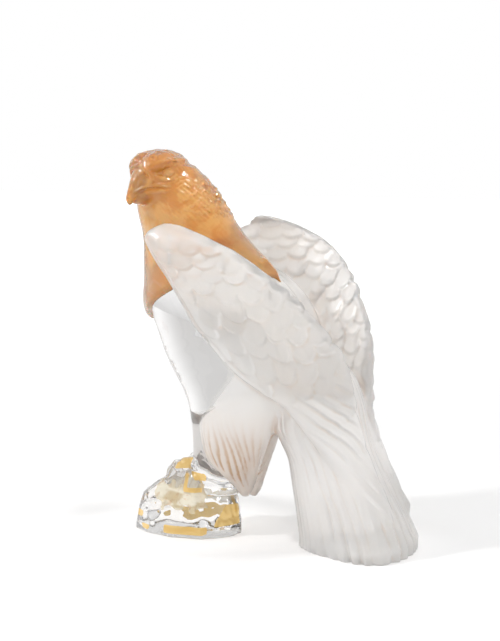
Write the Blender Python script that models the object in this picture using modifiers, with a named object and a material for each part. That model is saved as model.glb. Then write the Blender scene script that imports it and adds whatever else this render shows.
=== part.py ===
"""Crystal eagle with an amber glass head, standing on a rock and on its own tail.

Metres, +Z up. The bird faces -Y and its left wing is at +X. The origin is the middle of the
rock's underside, and the rock and the tail both stand on Z = 0.

The bird is a free form, so its outline is given in units of a 300th of its height (1 mm on
the real piece). The rock, the glass thicknesses and the joint have sizes of their own.
"""

import math

import bmesh
import bpy
from mathutils import Matrix, Vector

FIGURE_HEIGHT = 0.300
UNIT = FIGURE_HEIGHT / 300

# Rock
ROCK_LENGTH = 0.098
ROCK_WIDTH = 0.068
ROCK_HEIGHT = 0.055
ROCK_EDGE = 0.0012
LEG_ROOT_DEPTH = 0.021
TOE_LIFT = 0.002

# Wings
WING_MIDDLE_THICKNESS = 0.0105
WING_LEADING_THICKNESS = 0.0075
WING_BACK_THICKNESS = 0.0040
WING_BULGE = 0.008
FEATHER_STEP = 0.0020
FEATHERS_ACROSS = 5
FEATHER_SAMPLES = 4

# The glued joint between the amber and the crystal
JOINT_GAP = 0.0003

# Amber head
HEAD_YAW = math.radians(68)
EYE_RADIUS = 0.0040

# Loft detail
TORSO_POINTS = 22
TAIL_POINTS = 34
NECK_POINTS = 26

CRYSTAL_COLOUR = (0.87, 0.85, 0.84, 1.0)
AMBER_COLOUR = (0.80, 0.46, 0.20, 1.0)

# Wing outline, from the wrist to the tip: the leading edge faces the breast, and the back
# edge rises behind the wrist, swings out and comes in to the tail.
WING_LEADING_EDGE = (
    (76, 10, 244), (75, 5, 237), (72, 11, 223), (66, 19, 208), (59, 27, 189), (53, 35, 171),
    (46, 48, 153), (41, 62, 136), (38, 82, 122), (37, 101, 110), (35, 119, 89),
    (33, 135, 71), (31, 149, 56), (28, 161, 39), (24, 171, 24),
)
WING_BACK_EDGE = (
    (76, 10, 244), (76, 21, 248), (77, 34, 247), (82, 49, 243), (84, 68, 236), (81, 87, 226),
    (75, 102, 214), (65, 114, 202), (54, 126, 187), (40, 138, 166), (28, 145, 149),
    (18, 148, 124), (12, 150, 100), (9, 158, 70), (9, 169, 44), (13, 177, 26),
)

# The right wing's wrist is set back and lower, over this share of the wing
RIGHT_WRIST_SHIFT = (0, 9, -5)
RIGHT_WRIST_SHARE = 0.10

# Torso sections, from the leg column up: height, front, back, half width
TORSO = (
    (40, 9, 48, 20), (48, 8, 50, 21), (58, 9, 54, 23), (70, 9, 60, 25), (80, 9, 70, 28),
    (90, 8, 90, 32), (102, 6, 106, 35), (116, 1, 116, 38), (130, -7, 120, 40),
    (144, -14, 116, 42), (158, -19, 109, 43), (172, -24, 100, 43), (186, -26, 90, 41),
    (200, -24, 79, 37), (212, -17, 68, 31), (222, -6, 54, 22), (228, 8, 38, 9),
)

# Tail sections, from the ground up: height, front, back, half width in front, at the back
TAIL = (
    (0, 99, 188, 24, 47), (6, 99, 188, 24, 47), (16, 98, 185, 23, 43), (30, 96, 179, 22, 38),
    (48, 93, 170, 21, 35), (66, 90, 161, 22, 35), (80, 84, 155, 25, 34), (94, 79, 151, 33, 28),
    (112, 80, 147, 36, 25), (130, 86, 140, 35, 21), (147, 88, 124, 28, 16), (164, 90, 106, 18, 12),
)

# Feathered thigh sections, from the tuft's tip up: height, front, back, middle X, half width
THIGH = (
    (38, 60, 65, 25, 2), (43, 54, 67, 25, 5), (50, 42, 69, 25, 8), (58, 31, 71, 25, 11),
    (68, 28, 74, 25, 13), (80, 27, 79, 25, 14), (92, 29, 84, 25, 15), (106, 36, 88, 24, 15),
    (120, 48, 86, 22, 13),
)

# Amber neck sections, from the tip of the bib up: height, front, back, half width
NECK = (
    (168, -31, -25, 4), (173, -34, -19, 11), (181, -35, -6, 19), (191, -35, 26, 26),
    (198, -35, 62, 29), (206, -35, 77, 30), (214, -35, 71, 30), (224, -35, 60, 29),
    (236, -36, 48, 28), (248, -39, 39, 27), (258, -41, 33, 25), (268, -41, 26, 23),
    (278, -38, 17, 20), (288, -30, 6, 15),
)

# Amber collar around the breast: height, front, back, half width
COLLAR = (
    (160, -31, 96, 43), (172, -32.5, 92, 44), (186, -33.5, 84, 43), (200, -33, 74, 39.5),
    (212, -33, 64, 34), (226, -33, 55, 28),
)
# The collar's lower edge: height of its point, rise per unit back and to each side, and its back
COLLAR_POINT = (-31, 168)
COLLAR_RISE_BACK = 0.50
COLLAR_RISE_SIDE = 0.20
COLLAR_BACK = 12
COLLAR_TOP = 220

SHOULDER_CENTRE = (40, 62, 177)
SHOULDER_RADII = (18, 42, 23)
SHOULDER_SLOPE = math.radians(45)
# The right leg stands further forward and lower than the left one
RIGHT_LEG_SHIFT = (0, -16, -12)

# Head, in its own frame: forward, left and up from the middle of the skull
HEAD_CENTRE = (6, -19, 279)
SKULL_CENTRE = (-2, 0, 0)
SKULL_RADII = (26, 21, 22)
BROW_CENTRE = (9, 13.5, 10)
BROW_RADII = (14, 4.6, 4.2)
EYE_CENTRE = (9.5, 17.0, 2.2)
CHEEK_CENTRE = (-5, 12, -11)
CHEEK_RADII = (19, 11, 12)
# Upper bill, from its root to the hooked tip: forward, up, half width, half depth
BILL = (
    (10, -1, 12.5, 11), (17, -0.5, 10.5, 10.5), (22.5, -1.5, 8.5, 10), (26.5, -4.2, 6.8, 8.2),
    (29.0, -8.2, 5.2, 6.0), (30.2, -12, 3.8, 4.2), (30.4, -15.5, 2.5, 2.6), (29.6, -19, 1.0, 1.2),
)
# Lower bill and chin
CHIN = ((2, -11, 12, 7.5), (10, -12.5, 10, 6.5), (17, -13.5, 7.5, 5), (23, -14, 4.5, 3))

# Toes of one foot: direction off straight ahead in degrees, reach
TOES = ((-30, 21), (0, 25), (30, 21))
TOE_ROOT = (15, 14)
TOE_RADII = (5.0, 4.2)


def clear_scene():
    for obj in list(bpy.data.objects):
        bpy.data.objects.remove(obj, do_unlink=True)


def collection(name):
    made = bpy.data.collections.new(name)
    bpy.context.scene.collection.children.link(made)
    return made


def glass(name, colour, roughness):
    material = bpy.data.materials.new(name)
    material.use_nodes = True
    shader = material.node_tree.nodes["Principled BSDF"]
    shader.inputs["Base Color"].default_value = colour
    shader.inputs["Roughness"].default_value = roughness
    shader.inputs["Metallic"].default_value = 0.0
    shader.inputs["Transmission Weight"].default_value = 0.8
    shader.inputs["IOR"].default_value = 1.54
    return material


def object_from(name, bm, home, helper=False):
    """A mesh object from bm, with faces pointing out. A helper is a cutter or a shape to be joined."""
    bmesh.ops.recalc_face_normals(bm, faces=bm.faces)
    mesh = bpy.data.meshes.new(name)
    bm.to_mesh(mesh)
    bm.free()
    obj = bpy.data.objects.new(name, mesh)
    home.objects.link(obj)
    if helper:
        obj.hide_render = True
        obj.display_type = "WIRE"
    return obj


def loft(rings):
    """A closed surface through rings of the same number of points, with a flat cap at each end."""
    bm = bmesh.new()
    rows = [[bm.verts.new(point) for point in ring] for ring in rings]
    for lower, upper in zip(rows[:-1], rows[1:]):
        for i in range(len(lower)):
            j = (i + 1) % len(lower)
            bm.faces.new((lower[i], lower[j], upper[j], upper[i]))
    bm.faces.new(rows[0])
    bm.faces.new(rows[-1])
    return bm


def curve_point(points, share):
    """The point at this share of the way along a smooth curve through the points."""
    last = len(points) - 1
    place = min(max(share, 0.0), 1.0) * last
    i = min(int(place), last - 1)
    f = place - i
    p0, p1 = Vector(points[max(i - 1, 0)]), Vector(points[i])
    p2, p3 = Vector(points[i + 1]), Vector(points[min(i + 2, last)])
    return 0.5 * (
        2 * p1 + (p2 - p0) * f + (2 * p0 - 5 * p1 + 4 * p2 - p3) * f * f
        + (3 * p1 - p0 - 3 * p2 + p3) * f * f * f
    )


def even_curve(points, count):
    """This many points, evenly spaced by length, along a smooth curve through the points."""
    fine = [curve_point(points, i / 400) for i in range(401)]
    run = [0.0]
    for a, b in zip(fine[:-1], fine[1:]):
        run.append(run[-1] + (b - a).length)
    made = []
    k = 0
    for i in range(count):
        target = run[-1] * i / (count - 1)
        while k < len(run) - 2 and run[k + 1] < target:
            k += 1
        step = run[k + 1] - run[k]
        made.append(fine[k].lerp(fine[k + 1], (target - run[k]) / step if step else 0.0))
    return made


def oval(height, front, back, half_width, points, grow=0.0, squareness=2.3, middle_x=0.0):
    """A level section of the figure, in units, as points in metres. grow widens it, in metres."""
    ring = []
    half_depth = (back - front) / 2
    power = 2 / squareness
    for i in range(points):
        angle = 2 * math.pi * i / points
        c, s = math.cos(angle), math.sin(angle)
        x = math.copysign(abs(c) ** power, c) * (half_width * UNIT + grow)
        y = math.copysign(abs(s) ** power, s) * (half_depth * UNIT + grow)
        ring.append(Vector((middle_x * UNIT + x, (front + half_depth) * UNIT + y, height * UNIT)))
    return ring


def torso(home, grow=0.0):
    """Breast, back and the solid leg column, which is rooted in the rock."""
    root = (ROCK_HEIGHT - LEG_ROOT_DEPTH) / UNIT
    sections = [(root, *TORSO[0][1:])] + [section for section in TORSO if section[0] > root + 2]
    rings = [oval(*section, TORSO_POINTS, grow) for section in sections]
    for point in rings[-1]:
        point.z += grow
    return object_from("torso_shape", loft(rings), home, helper=True)


def tail(home):
    """The fanned tail: narrow in front, wide at the back, with feathers as upright ribs."""
    rings = []
    for height, front, back, front_half, back_half in TAIL:
        ring = []
        for i in range(TAIL_POINTS):
            angle = 2 * math.pi * i / TAIL_POINTS
            c, s = math.cos(angle), math.sin(angle)
            depth = 0.5 + 0.5 * math.copysign(abs(s) ** 0.75, s)
            half = front_half + (back_half - front_half) * min(1.0, depth * 1.15)
            rib = (1 if i % 4 == 2 else -0.4 if i % 4 == 0 else 0.4) * 1.2 * max(0.0, s + 0.6)
            x = math.copysign(abs(c) ** 0.8, c) * (half + rib)
            y = front + (back - front) * depth + rib * s
            ring.append(Vector((x, y, height)) * UNIT)
        rings.append(ring)
    return object_from("tail_shape", loft(rings), home, helper=True)


def thigh(home, side):
    """One thigh with its tuft of feathers, which ends in a point behind the foot."""
    rings = []
    for k, (height, front, back, middle_x, half_width) in enumerate(THIGH):
        ring = oval(height, front, back, half_width, 20, 0.0, 2.0, side * middle_x)
        if side < 0:
            ring = [point + Vector(RIGHT_LEG_SHIFT) * UNIT for point in ring]
        middle = sum(ring, Vector()) / len(ring)
        fluting = 0.06 * max(0.0, 1 - k / (len(THIGH) - 2))
        for i, point in enumerate(ring):
            point.xyz = middle + (point - middle) * (1 + (fluting if i % 2 else -fluting))
        rings.append(ring)
    return object_from("thigh_shape", loft(rings), home, helper=True)


def wing_stations():
    """Shares of the wing's length for each section, with the height and lobes of the feather rows.

    Each row of short feathers rises to its rounded ends and then drops to the next row.
    """
    row_ends = (0.10, 0.19, 0.28, 0.38, 0.50)
    stations = [(0.012, 0.0, 0.0, 0), (0.035, 0.2, 0.0, 0), (0.065, 0.4, 0.0, 0)]
    start = row_ends[0]
    for k, end in enumerate(row_ends[1:]):
        stations.append((start, 0.9, 0.4, k))
        stations.append((start + 0.016, 0.1, 0.4, k))
        stations.append(((start + end) / 2, 0.45, 0.2, k + 1))
        start = end
    stations += [(start, 1.0, 0.5, 4), (start + 0.018, 0.1, 0.5, 4)]
    stations += [(share, 0.5, 0.0, 5) for share in (0.60, 0.70, 0.80, 0.89, 0.95, 0.985)]
    return stations


def wing(home, side):
    """One half-open wing, side 1 for the bird's left: a curved shield with feathers on both faces."""
    count = 401
    lead, back = even_curve(WING_LEADING_EDGE, count), even_curve(WING_BACK_EDGE, count)
    across = FEATHERS_ACROSS * FEATHER_SAMPLES
    rings = []
    for share, rise, lobe, row in wing_stations():
        outer, inner = [], []
        for j in range(across + 1):
            t = j / across
            crest = 0.5 - 0.5 * math.cos(2 * math.pi * (t * FEATHERS_ACROSS + 0.5 * (row % 2)))
            s = share + lobe * 0.045 * crest
            k = min(int(s * (count - 1)), count - 2)
            a, b = lead[k] * UNIT, back[k] * UNIT
            chord = b - a
            onward = (lead[k + 1] - lead[k] + back[k + 1] - back[k]).normalized()
            normal = chord.cross(onward).normalized()
            if normal.x < 0:
                normal.negate()
            round_off = math.sqrt(min(1.0, share / 0.07))
            arch = math.sin(math.pi * t)
            middle = a.lerp(b, t) + normal * (WING_BULGE * arch * round_off * (1 - 0.8 * share))
            edge = WING_LEADING_THICKNESS * (1 - t) + WING_BACK_THICKNESS * t
            half = 0.5 * (edge + (WING_MIDDLE_THICKNESS - edge) * arch) * (0.5 + 0.5 * round_off)
            relief = FEATHER_STEP * (rise * (0.35 + 0.65 * crest) if row < 5 else 0.7 * crest)
            outer.append(middle + normal * (half + relief))
            inner.append(middle - normal * (half + 0.6 * relief))
        ease = max(0.0, 1 - share / RIGHT_WRIST_SHARE) ** 2 if side < 0 else 0.0
        shift = Vector(RIGHT_WRIST_SHIFT) * (ease * UNIT)
        rings.append([Vector((side * p.x, p.y, p.z)) + shift for p in outer + inner[::-1]])
    return object_from("wing_shape", loft(rings), home, helper=True)


def ellipsoid(name, centre, radii, home, turn=None, segments=16, rings=10):
    """An ellipsoid from a sphere primitive, centre and radii in metres."""
    bm = bmesh.new()
    bmesh.ops.create_uvsphere(bm, u_segments=segments, v_segments=rings, radius=1.0)
    place = Matrix.Translation(centre) @ (turn.to_4x4() if turn else Matrix.Identity(4))
    bm.transform(place @ Matrix.Diagonal((*radii, 1.0)))
    return object_from(name, bm, home, helper=True)


def shoulder(home, side):
    """The upper arm that carries the wing off the torso. It slopes back and down as the wing does."""
    x, y, z = SHOULDER_CENTRE
    turn = Matrix.Rotation(-SHOULDER_SLOPE, 3, "X")
    radii = [r * UNIT for r in SHOULDER_RADII]
    return ellipsoid("shoulder_shape", Vector((side * x, y, z)) * UNIT, radii, home, turn)


def toe(home, side, degrees, reach):
    """One toe that lies over the rock, with its claw turned down."""
    root = Vector((side * TOE_ROOT[0] * UNIT, TOE_ROOT[1] * UNIT, ROCK_HEIGHT + TOE_LIFT))
    heading = math.radians(degrees)
    ahead = Vector((math.sin(heading), -math.cos(heading), 0))
    thick, thin = TOE_RADII[0] * UNIT, TOE_RADII[1] * UNIT
    rings = []
    for share, drop, size in ((-0.3, 0.0, 0.9), (0.0, 0.0, 1.0), (0.35, 0.6, 0.85), (0.65, 3.0, 0.9),
                              (0.85, 6.5, 0.6), (1.0, 12.0, 0.2)):
        middle = root + ahead * (reach * share * UNIT) - Vector((0, 0, drop * UNIT))
        down = Vector((0, 0, 1)) + ahead * (0.12 * drop)
        across = ahead.cross(Vector((0, 0, 1)))
        rings.append([
            middle + across * (math.cos(a) * thin * size) + down.normalized() * (math.sin(a) * thick * size)
            for a in (2 * math.pi * i / 10 for i in range(10))
        ])
    return object_from("toe_shape", loft(rings), home, helper=True)


def rock(home):
    """The chiselled rock: a hull of a few uneven rings, with its edges just broken."""
    levels = (
        (0.00, 0.97, 0.97, 0.0, 11), (0.22, 1.0, 1.0, 0.0, 9), (0.50, 0.88, 0.92, 0.03, 9),
        (0.76, 0.66, 0.74, 0.09, 8), (0.94, 0.42, 0.56, 0.16, 7), (1.0, 0.26, 0.40, 0.19, 6),
    )
    bm = bmesh.new()
    for level, (height, along, wide, shift, corners) in enumerate(levels):
        for i in range(corners):
            angle = 2 * math.pi * (i + 0.37 * level) / corners
            uneven = 1 - 0.09 * (0.5 + 0.5 * math.sin(5.3 * i + 2.1 * level))
            bm.verts.new((
                math.cos(angle) * wide * uneven * ROCK_WIDTH / 2,
                (math.sin(angle) * along * uneven / 2 + shift) * ROCK_LENGTH,
                height * ROCK_HEIGHT,
            ))
    hull = bmesh.ops.convex_hull(bm, input=bm.verts)
    bmesh.ops.delete(bm, geom=[g for g in hull["geom_interior"] if g.is_valid], context="VERTS")
    obj = object_from("rock_shape", bm, home, helper=True)
    bevel = obj.modifiers.new("broken_edges", "BEVEL")
    bevel.width = ROCK_EDGE
    bevel.segments = 1
    bevel.limit_method = "ANGLE"
    bevel.angle_limit = math.radians(12)
    return obj


def join(obj, others, operation="UNION"):
    for number, other in enumerate(others):
        modifier = obj.modifiers.new(f"{operation.lower()}_{number}", "BOOLEAN")
        modifier.operation = operation
        modifier.object = other
        modifier.solver = "EXACT"


def eagle_body(home, helpers, material):
    """The crystal casting: rock, torso, thighs, feet, tail and wings in one."""
    body = torso(helpers)
    body.name = "eagle_body"
    helpers.objects.unlink(body)
    home.objects.link(body)
    body.hide_render = False
    body.display_type = "TEXTURED"
    # The small toes join the rock first, before the large shapes make the union intricate
    shapes = [rock(helpers)]
    for side in (1, -1):
        shapes += [toe(helpers, side, degrees, reach) for degrees, reach in TOES]
    shapes.append(tail(helpers))
    for side in (1, -1):
        shapes += [thigh(helpers, side), shoulder(helpers, side), wing(helpers, side)]
    join(body, shapes)
    body.data.materials.append(material)
    return body


def head_frame():
    """From the head's own frame (forward, left, up) to the row frame, in units."""
    forward = Vector((math.sin(HEAD_YAW), -math.cos(HEAD_YAW), 0))
    left = Vector((math.cos(HEAD_YAW), math.sin(HEAD_YAW), 0))
    turn = Matrix((forward, left, Vector((0, 0, 1)))).transposed()
    return turn


def head_loft(name, sections, home, points=12):
    """A loft along the head's forward line: forward, up, half width and half depth for each section."""
    turn = head_frame()
    centre = Vector(HEAD_CENTRE)
    rings = []
    for k, (forward, up, half_width, half_depth) in enumerate(sections):
        before = sections[max(k - 1, 0)]
        after = sections[min(k + 1, len(sections) - 1)]
        along = Vector((after[0] - before[0], 0, after[1] - before[1])).normalized()
        over = Vector((-along.z, 0, along.x))
        ring = []
        for i in range(points):
            angle = 2 * math.pi * i / points
            own = Vector((forward, math.cos(angle) * half_width, up)) + over * (math.sin(angle) * half_depth)
            ring.append((centre + turn @ own) * UNIT)
        rings.append(ring)
    return object_from(name, loft(rings), home, helper=True)


def head_ellipsoid(name, centre, radii, home, tilt=0.0, segments=14, rings=8):
    """An ellipsoid placed in the head's frame. tilt raises its front."""
    turn = head_frame()
    at = (Vector(HEAD_CENTRE) + turn @ Vector(centre)) * UNIT
    lean = Matrix.Rotation(-tilt, 3, "Y")
    return ellipsoid(name, at, [r * UNIT for r in radii], home, turn @ lean, segments, rings)


def collar(home):
    """The amber that wraps the breast down to a point, cut along its lower edge."""
    rings = [oval(*section, NECK_POINTS, 0.0, 2.0) for section in COLLAR]
    obj = object_from("collar_shape", loft(rings), home, helper=True)
    front, side = -60, 60
    bm = bmesh.new()
    rows = []
    for x in (-side, 0, side):
        column = []
        for y in (front, COLLAR_BACK):
            edge = COLLAR_POINT[1] + COLLAR_RISE_BACK * (y - COLLAR_POINT[0]) + COLLAR_RISE_SIDE * abs(x)
            for z in (edge, COLLAR_TOP):
                column.append(bm.verts.new(Vector((x, y, z)) * UNIT))
        rows.append([column[0], column[2], column[3], column[1]])
    for before, after in zip(rows[:-1], rows[1:]):
        for i in range(4):
            j = (i + 1) % 4
            bm.faces.new((before[i], before[j], after[j], after[i]))
    bm.faces.new(rows[0])
    bm.faces.new(rows[-1])
    join(obj, [object_from("collar_region", bm, home, helper=True)], "INTERSECT")
    return obj


def eagle_head(home, helpers, material):
    """The amber casting: head, neck, and the collar with its points on the breast and the back."""
    rings = [oval(*section, NECK_POINTS, 0.0, 2.1) for section in NECK]
    head = object_from("eagle_head", loft(rings), home)
    head.data.materials.append(material)
    shapes = [
        collar(helpers),
        head_ellipsoid("skull_shape", SKULL_CENTRE, SKULL_RADII, helpers, segments=18, rings=10),
        head_loft("bill_shape", BILL, helpers),
        head_loft("chin_shape", CHIN, helpers),
    ]
    for side in (1, -1):
        x, y, z = BROW_CENTRE
        shapes.append(head_ellipsoid("brow_shape", (x, side * y, z), BROW_RADII, helpers, math.radians(-12)))
        x, y, z = CHEEK_CENTRE
        shapes.append(head_ellipsoid("cheek_shape", (x, side * y, z), CHEEK_RADII, helpers))
        x, y, z = EYE_CENTRE
        eye = [EYE_RADIUS / UNIT] * 3
        shapes.append(head_ellipsoid("eye_shape", (x, side * y, z), eye, helpers, 0.0, 10, 6))
    join(head, shapes)
    join(head, [torso(helpers, JOINT_GAP)], "DIFFERENCE")
    return head


def main():
    clear_scene()
    home = collection("crystal_eagle")
    helpers = collection("helper_shapes")
    crystal = glass("crystal", CRYSTAL_COLOUR, 0.25)
    amber = glass("amber", AMBER_COLOUR, 0.2)
    eagle_body(home, helpers, crystal)
    eagle_head(home, helpers, amber)


main()
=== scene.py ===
"""Looks of the crystal eagle: frosted and clear crystal on a clear rock, with an amber glass head.

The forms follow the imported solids. They are made as distance fields in millimetres, from the
same outlines and sections as the solids, with the feathers and folds carved in.
"""
import math

import bmesh
import bpy
import numpy as np
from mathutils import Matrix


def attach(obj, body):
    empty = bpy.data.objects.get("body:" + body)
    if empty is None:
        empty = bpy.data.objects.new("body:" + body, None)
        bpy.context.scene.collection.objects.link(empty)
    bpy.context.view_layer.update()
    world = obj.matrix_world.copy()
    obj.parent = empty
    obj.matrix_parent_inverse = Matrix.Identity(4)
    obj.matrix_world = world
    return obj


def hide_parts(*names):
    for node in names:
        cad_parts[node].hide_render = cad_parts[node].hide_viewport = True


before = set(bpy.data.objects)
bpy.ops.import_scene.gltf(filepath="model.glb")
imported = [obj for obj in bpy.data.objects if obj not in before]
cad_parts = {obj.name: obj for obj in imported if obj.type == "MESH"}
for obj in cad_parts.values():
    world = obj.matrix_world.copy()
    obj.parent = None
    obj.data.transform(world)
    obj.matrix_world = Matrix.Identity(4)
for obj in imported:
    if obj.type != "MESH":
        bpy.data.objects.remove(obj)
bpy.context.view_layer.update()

import openvdb
from mathutils import Matrix, Vector

# Distance between grid points, in mm, and the most triangles of each piece
BODY_STEP = 1.0
HEAD_STEP = 0.65
BODY_TRIANGLES = 190000
HEAD_TRIANGLES = 120000
# How far each field reaches from its surface, in grid steps
BAND = 7.0
# Lowest and highest corners in mm: the crystal, the amber, the face, the neck with the face
CRYSTAL_REACH = ((-96, -56, -6), (96, 198, 256))
AMBER_REACH = ((-48, -48, 158), (52, 100, 306))
FACE_REACH = ((-30, -52, 240), (46, 30, 303))
NECK_REACH = ((-40, -48, 200), (46, 80, 300))

# Sizes that the solids have, in mm
ROCK_LENGTH = 98.0
ROCK_WIDTH = 68.0
ROCK_HEIGHT = 55.0
TOE_LIFT = 2.0
WING_MIDDLE = 11.5
WING_LEADING = 8.0
WING_BACK = 5.0
WING_BULGE = 8.0
# How far the amber is let into the clear crystal, so that no dark line shows round it
SEAT = 0.5
HEAD_YAW = math.radians(68)

LEADING_EDGE = (
    (76, 10, 244), (75, 5, 237), (72, 11, 223), (66, 19, 208), (59, 27, 189), (53, 35, 171),
    (46, 48, 153), (41, 62, 136), (38, 82, 122), (37, 101, 110), (35, 119, 89),
    (33, 135, 71), (31, 149, 56), (28, 161, 39), (24, 171, 24),
)
BACK_EDGE = (
    (76, 10, 244), (76, 21, 248), (77, 34, 247), (82, 49, 243), (84, 68, 236), (81, 87, 226),
    (75, 102, 214), (65, 114, 202), (54, 126, 187), (40, 138, 166), (28, 145, 149),
    (18, 148, 124), (12, 150, 100), (9, 158, 70), (9, 169, 44), (13, 177, 26),
)
RIGHT_WRIST_SHIFT = (0, 9, -5)
RIGHT_WRIST_SHARE = 0.10

# Level sections: height, front, back, half width
TORSO = (
    (34, 9, 48, 20), (40, 9, 48, 20), (48, 8, 50, 21), (58, 9, 54, 23), (70, 9, 60, 25),
    (80, 9, 70, 28), (90, 8, 90, 32), (102, 6, 106, 35), (116, 1, 116, 38), (130, -7, 120, 40),
    (144, -14, 116, 42), (158, -19, 109, 43), (172, -24, 100, 43), (186, -26, 90, 41),
    (200, -24, 79, 37), (212, -17, 68, 31), (222, -6, 54, 22), (228, 8, 38, 9),
)
# Height, front, back, half width in front, half width at the back
TAIL = (
    (0, 99, 188, 24, 47), (6, 99, 188, 24, 47), (16, 98, 185, 23, 43), (30, 96, 179, 22, 38),
    (48, 93, 170, 21, 35), (66, 90, 161, 22, 35), (80, 84, 155, 25, 34), (94, 79, 151, 33, 28),
    (112, 80, 147, 36, 25), (130, 86, 140, 35, 21), (147, 88, 124, 28, 16), (164, 90, 106, 18, 12),
)
# Height, front, back, middle X, half width
THIGH = (
    (38, 60, 65, 25, 2), (43, 54, 67, 25, 5), (50, 42, 69, 25, 8), (58, 31, 71, 25, 11),
    (68, 28, 74, 25, 13), (80, 27, 79, 25, 14), (92, 29, 84, 25, 15), (106, 36, 88, 24, 15),
    (120, 48, 86, 22, 13),
)
RIGHT_LEG_SHIFT = (0, -16, -12)
NECK = (
    (168, -31, -25, 4), (173, -34, -19, 11), (181, -35, -6, 19), (191, -35, 26, 26),
    (198, -35, 62, 29), (206, -35, 77, 30), (214, -35, 71, 30), (224, -35, 60, 29),
    (236, -36, 48, 28), (248, -39, 39, 27), (258, -41, 33, 25), (268, -41, 26, 23),
    (278, -38, 17, 20), (288, -30, 6, 15),
)
COLLAR = (
    (156, -30, 98, 43), (160, -31, 96, 43), (172, -32.5, 92, 44), (186, -33.5, 84, 43),
    (200, -33, 74, 39.5), (212, -33, 64, 34), (226, -33, 55, 28),
)
COLLAR_POINT = (-31, 168)
COLLAR_RISE_BACK = 0.50
COLLAR_RISE_SIDE = 0.20
COLLAR_BACK = 12
COLLAR_TOP = 220
SHOULDER_CENTRE = (40, 62, 177)
SHOULDER_RADII = (18, 42, 23)
SHOULDER_SLOPE = math.radians(45)

# Head, in its own frame: forward, left and up from the middle of the skull
HEAD_CENTRE = (6, -19, 279)
SKULL_CENTRE = (-2, 0, 0)
SKULL_RADII = (26, 21, 22)
BILL = (
    (8, -1, 12.5, 11), (15.5, -0.8, 10.5, 10), (19.5, -2.0, 8.5, 9.2), (22.5, -4.8, 7.0, 7.8),
    (25.8, -8.8, 5.6, 6.2), (28.8, -12.4, 4.2, 4.6), (30.8, -16, 3.2, 3.4), (31.0, -18.6, 2.0, 2.2),
    (30.7, -20.0, 0.8, 0.9),
)
CHIN = (
    (0, -11, 12, 7.5), (10, -12.5, 11, 7.5), (17, -14, 9.6, 6.8), (23, -15, 7.8, 5.4),
    (26.5, -15.5, 5.4, 3.8), (28, -15.5, 2.4, 1.6),
)

# Toes: degrees outward and length of each, and where they start. Then the sections of a toe:
# share of its length, drop in mm, and share of its radii
TOES = ((-30, 21), (0, 25), (30, 21))
TOE_ROOT = (15, 14)
TOE_RADII = (5.0, 4.2)
TOE_SECTIONS = (
    (-0.3, 0.0, 0.9), (0.0, 0.0, 1.0), (0.18, 0.0, 0.8), (0.35, 0.6, 0.95), (0.5, 1.6, 0.74),
    (0.65, 3.0, 0.92), (0.75, 4.4, 0.62), (0.85, 6.5, 0.55), (1.0, 12.0, 0.12),
)

# Rows of feathers: where the tips are, feather length, feather width, rise
BACK_FEATHERS = [(20 + 11 * k, 20, 10.0, 1.4) for k in range(11)]
COVERTS = [(32 + 13.0 * k, 24, 13.5 + 0.35 * k, 2.5 + 0.06 * k) for k in range(14)]
INNER_COVERTS = [(12 + 11.5 * k, 20, 12.5 + 0.25 * k, 2.7 + 0.03 * k) for k in range(16)]
# Feathers of a row that differ by chance, before the row repeats
ROW_FEATHERS = 64
# Feathers hang from the wing's upper edge by this angle, and turn to follow it further down
HANG = math.radians(58)

# Slots of the crystal's materials
FROSTED, CLEAR, GOLD_REFLECTION, SAND_REFLECTION, MIST = range(5)

# The photograph's camera and frame
AZIMUTH = math.radians(115)
ELEVATION = math.radians(7)
LENS = 85.0
SENSOR = 36
DISTANCE = 1.211
FRAME_WIDTH = 500
FRAME_HEIGHT = 641
FOCAL_PIXELS = LENS / SENSOR * FRAME_HEIGHT
ROCK_PIXEL = (188, 528)
PIXELS_PER_MM = 1.25
# How far from the camera the object is looked for, in mm, and in how many steps
SEARCH = (950, 1400, 1500)

AHEAD = np.array([
    -math.sin(AZIMUTH) * math.cos(ELEVATION),
    math.cos(AZIMUTH) * math.cos(ELEVATION),
    -math.sin(ELEVATION),
])
RIGHT = np.array([math.cos(AZIMUTH), math.sin(AZIMUTH), 0])
OVER = np.cross(RIGHT, AHEAD)


def through(x, y):
    """From the camera through this pixel of the photograph, one long in the viewing direction."""
    across, down = x - FRAME_WIDTH / 2, y - FRAME_HEIGHT / 2
    return AHEAD + RIGHT * across / FOCAL_PIXELS - OVER * down / FOCAL_PIXELS


EYE = -through(*ROCK_PIXEL) * DISTANCE


# Curves and shells


def smooth(xs, ys, at):
    """Values at the given places on a smooth curve through the points, with no overshoot."""
    xs, ys = np.asarray(xs, float), np.asarray(ys, float)
    step = np.diff(xs)
    rise = np.diff(ys) / step
    slope = np.empty_like(ys)
    slope[0], slope[-1] = rise[0], rise[-1]
    same = rise[:-1] * rise[1:] > 0
    total = np.where(same, rise[:-1] + rise[1:], 1.0)
    slope[1:-1] = np.where(same, 2 * rise[:-1] * rise[1:] / total, 0.0)
    at = np.clip(at, xs[0], xs[-1])
    i = np.clip(np.searchsorted(xs, at, side="right") - 1, 0, len(xs) - 2)
    f = (at - xs[i]) / step[i]
    return (
        ys[i] * (1 + 2 * f) * (1 - f) ** 2 + ys[i + 1] * f * f * (3 - 2 * f)
        + step[i] * (slope[i] * f * (1 - f) ** 2 + slope[i + 1] * f * f * (f - 1))
    )


def run_along(points):
    """Length in mm from the first point of a line to each of its points."""
    return np.concatenate([[0], np.cumsum(np.linalg.norm(np.diff(points, axis=0), axis=1))])


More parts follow.
